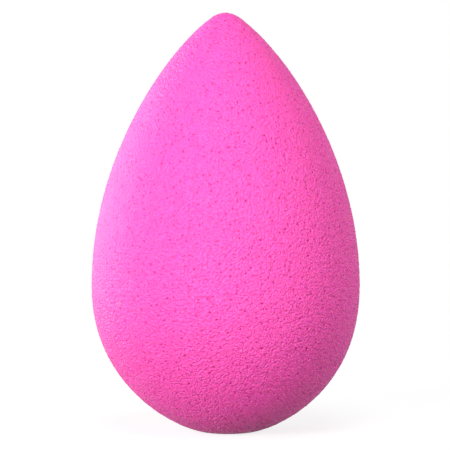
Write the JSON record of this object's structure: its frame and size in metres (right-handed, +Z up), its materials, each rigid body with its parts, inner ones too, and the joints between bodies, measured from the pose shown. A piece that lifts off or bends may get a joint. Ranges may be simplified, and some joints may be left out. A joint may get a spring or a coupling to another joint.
{
  "type": "makeup sponge",
  "caption": "Teardrop makeup blending sponge in soft pink foam, round at the base with a rounded pointed tip, standing on a small flat.",
  "frame": {"origin": "centre of the flat rest face under the broad end, in the plane that the sponge stands on", "axes": "+Z up along the sponge's axis of revolution, from the rest face to the tip; +X and +Y are free, because the shape is the same all round, and the picture looks along +Y with +X to the right"},
  "size_m": [0.0384, 0.0384, 0.06],
  "materials": {
    "foam": "matte open-cell foam, dyed pink all through, with a cut and ground surface of fine pores"
  },
  "bodies": {
    "root": {"foam_body": "foam"}
  },
  "joints": []
}
